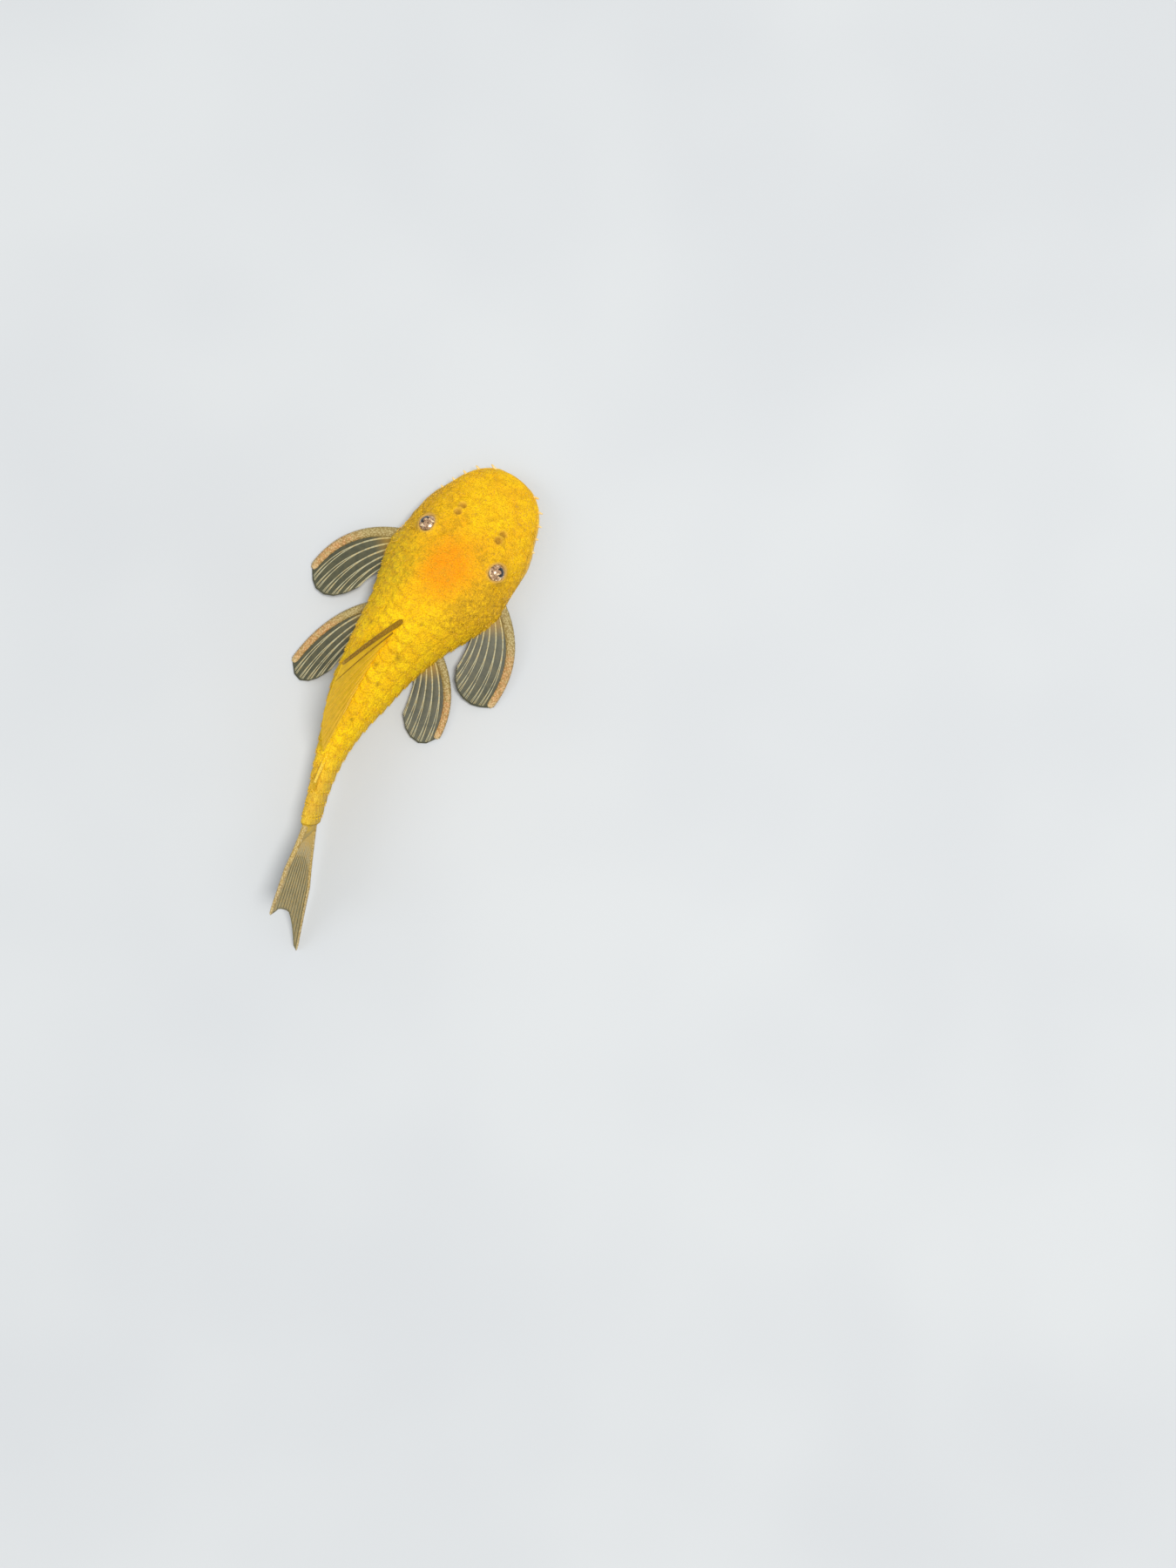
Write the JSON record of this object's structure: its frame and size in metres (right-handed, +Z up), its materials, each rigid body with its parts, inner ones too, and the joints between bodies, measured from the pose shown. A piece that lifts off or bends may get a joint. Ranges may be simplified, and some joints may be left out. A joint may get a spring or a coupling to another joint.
{
  "type": "bristlenose pleco",
  "caption": "Life-size still model of a young gold bristlenose pleco at rest on its belly, paired fins spread, dorsal fin half raised and tail curved to its right.",
  "frame": {"origin": "the middle of the flat of the belly, between the pectoral and pelvic fins, at the level of the floor", "axes": "+Z up, the head towards -Y, the fish's left side towards +X"},
  "size_m": [0.0347, 0.0769, 0.0207],
  "materials": {
    "skin": "bright yellow to orange armoured skin, satin, with fine granular tooth-like bumps and olive brown mottling",
    "lips": "soft pale cream lips covered in small round bumps",
    "eyes": "clear glossy eye, pinkish cream iris with a dark omega-shaped pupil",
    "fins": "thin translucent olive web between cream rays, amber leading spines"
  },
  "bodies": {
    "root": {"head": "skin", "trunk": "skin", "tail_stalk": "skin", "mouth_disc": "lips", "barbel_left": "lips", "barbel_right": "lips", "eye_left": "eyes", "eye_right": "eyes", "dorsal_fin": "fins", "adipose_fin": "fins", "anal_fin": "fins", "tail_fin": "fins", "pectoral_fin_left": "fins", "pectoral_fin_right": "fins", "pelvic_fin_left": "fins", "pelvic_fin_right": "fins"}
  },
  "joints": []
}
